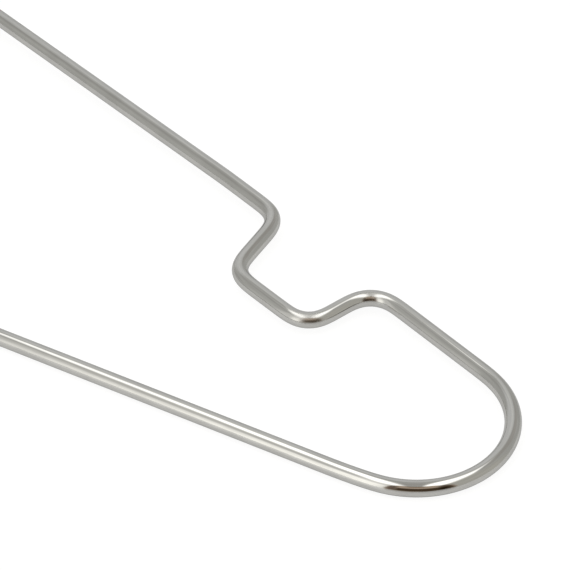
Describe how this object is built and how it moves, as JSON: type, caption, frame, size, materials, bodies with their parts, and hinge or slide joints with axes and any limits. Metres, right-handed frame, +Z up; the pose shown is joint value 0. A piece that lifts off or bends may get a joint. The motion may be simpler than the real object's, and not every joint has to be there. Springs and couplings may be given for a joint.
{
  "type": "shirt hanger",
  "caption": "Slim shirt hanger of thick polished wire, with a strap notch in each shoulder, a straight bar and a swivel hook.",
  "frame": {"origin": "on the surface the hanger lies on, under the middle of its outline", "axes": "+X along the bar, +Y from the bar to the hook, +Z up from the surface the hanger lies on"},
  "size_m": [0.43, 0.1964, 0.0095],
  "materials": {
    "polished_wire": "polished",
    "turned_steel": "polished, with fine turning marks",
    "washer_steel": "satin"
  },
  "bodies": {
    "frame": {"frame_wire": "polished_wire", "neck_bush": "turned_steel"},
    "swivel_hook": {"hook": "polished_wire", "stop_collar": "turned_steel", "thrust_washer": "washer_steel", "retaining_washer": "washer_steel"}
  },
  "joints": [
    {"name": "hook_swivel", "type": "hinge", "parent": "frame", "child": "swivel_hook", "pos_m": [0, 0.01439, 0.00476], "axis": [0, 0.9997, 0.0249], "continuous": true}
  ]
}
